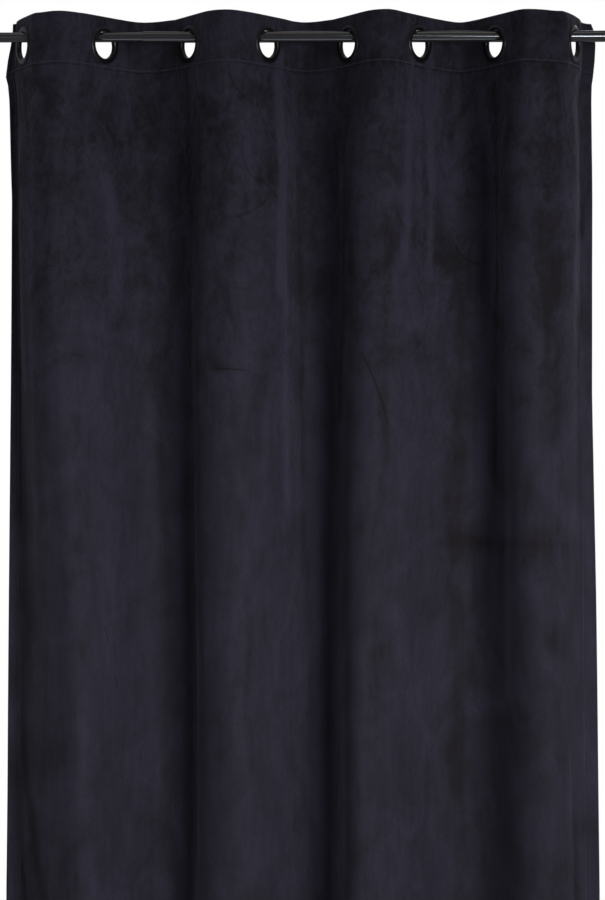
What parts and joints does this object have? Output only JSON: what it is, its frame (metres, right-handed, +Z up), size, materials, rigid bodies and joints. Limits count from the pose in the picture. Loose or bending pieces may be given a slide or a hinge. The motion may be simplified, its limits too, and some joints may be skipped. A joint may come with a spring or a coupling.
{
  "type": "eyelet curtain and curtain rod",
  "caption": "Dark velvet curtain hung in deep uneven folds by metal eyelets on a plain telescopic rod.",
  "frame": {"origin": "on the rod's axis, half way along the rod", "axes": "+Z up, +X along the rod to the right as the curtain is faced, +Y towards the wall; the pile side faces -Y"},
  "size_m": [1.2, 0.1349, 2.6047],
  "materials": {
    "velvet": "matt near-black navy pile with soft sheen on the folds, plain woven back",
    "ring_metal": "satin dark nickel plating",
    "rod_metal": "satin black paint"
  },
  "bodies": {
    "root": {"curtain_panel": "velvet", "eyelet_1_front": "ring_metal", "eyelet_1_back": "ring_metal", "eyelet_2_front": "ring_metal", "eyelet_2_back": "ring_metal", "eyelet_3_front": "ring_metal", "eyelet_3_back": "ring_metal", "eyelet_4_front": "ring_metal", "eyelet_4_back": "ring_metal", "eyelet_5_front": "ring_metal", "eyelet_5_back": "ring_metal", "eyelet_6_front": "ring_metal", "eyelet_6_back": "ring_metal", "eyelet_7_front": "ring_metal", "eyelet_7_back": "ring_metal", "eyelet_8_front": "ring_metal", "eyelet_8_back": "ring_metal", "rod_thin_tube": "rod_metal", "rod_thick_tube": "rod_metal"}
  },
  "joints": []
}
